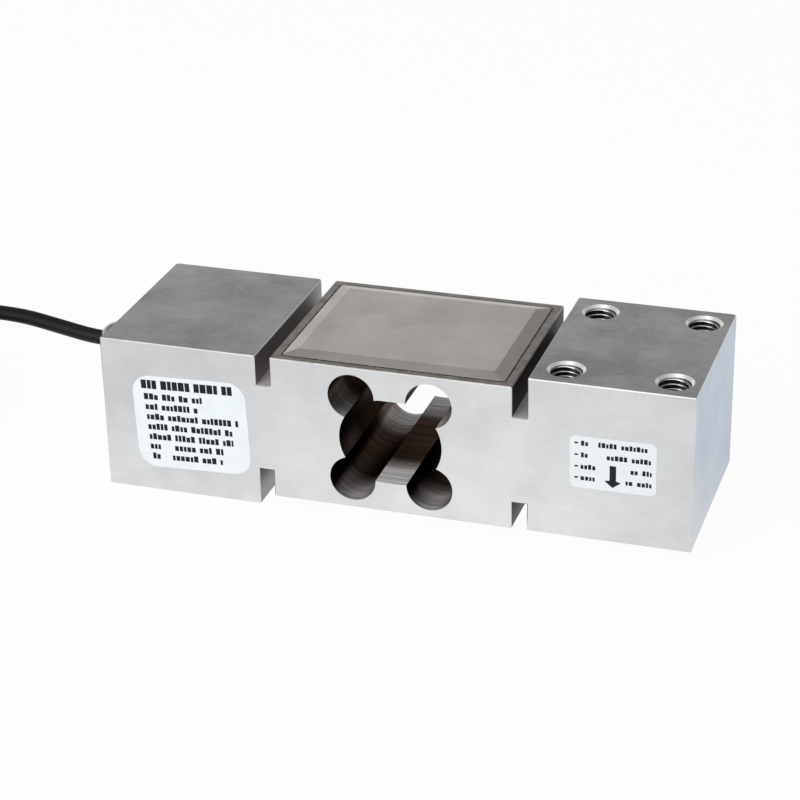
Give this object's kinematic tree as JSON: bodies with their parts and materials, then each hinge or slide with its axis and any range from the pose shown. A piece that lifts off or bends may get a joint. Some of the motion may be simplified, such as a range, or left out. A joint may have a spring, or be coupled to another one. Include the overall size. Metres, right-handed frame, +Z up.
{
  "type": "weighing load cell",
  "caption": "Steel weighing load cell: a slotted block with a lobed through hole, welded covers, tapped mounting pads and a signal cable.",
  "frame": {"origin": "centre of the block's footprint, level with the mounting pad under the fixed end", "axes": "+X along the block from the cable end to the load end, +Y across it towards the back, +Z up"},
  "size_m": [0.3379, 0.1009, 0.055],
  "materials": {
    "steel": "fine ground stainless steel",
    "cover_steel": "rolled stainless sheet with a satin surface",
    "gauge_film": "amber film with a thin metal foil",
    "copper_lead": "enamelled copper",
    "board": "green lacquer",
    "solder": "bright tin",
    "resistor": "black ceramic",
    "gland_metal": "nickel-plated brass",
    "gland_rubber": "matt black rubber",
    "cable_jacket": "black plastic jacket with a soft shine",
    "tie_plastic": "natural nylon",
    "sleeve_plastic": "black shrunk sleeve",
    "red_core": "insulation",
    "yellow_core": "insulation",
    "black_core": "insulation",
    "blue_core": "insulation",
    "green_core": "insulation",
    "white_core": "insulation",
    "screen_copper": "tinned copper strands",
    "sticker": "white film with dark bars for print"
  },
  "bodies": {
    "root": {"balance_resistor": "resistor", "bottom_cover": "cover_steel", "bottom_fixed_gauge": "gauge_film", "bottom_fixed_gauge_leads": "copper_lead", "bottom_load_gauge": "gauge_film", "bottom_load_gauge_leads": "copper_lead", "cable": "cable_jacket", "cable_coil": "cable_jacket", "cable_tail": "cable_jacket", "cable_tie": "tie_plastic", "end_black_core": "black_core", "end_blue_core": "blue_core", "end_green_core": "green_core", "end_red_core": "red_core", "end_screen": "screen_copper", "end_sleeve": "sleeve_plastic", "end_white_core": "white_core", "end_yellow_core": "yellow_core", "gland_body": "gland_metal", "gland_nut": "gland_metal", "gland_seal": "gland_rubber", "gland_washer": "gland_rubber", "inner_black_core": "black_core", "inner_blue_core": "blue_core", "inner_cable": "cable_jacket", "inner_green_core": "green_core", "inner_red_core": "red_core", "inner_white_core": "white_core", "inner_yellow_core": "yellow_core", "rating_label": "sticker", "solder_pads": "solder", "span_resistor": "resistor", "spring_element": "steel", "terminal_board": "board", "top_cover": "cover_steel", "top_fixed_gauge": "gauge_film", "top_fixed_gauge_leads": "copper_lead", "top_load_gauge": "gauge_film", "top_load_gauge_leads": "copper_lead", "wiring_label": "sticker", "zero_resistor": "resistor"}
  },
  "joints": []
}
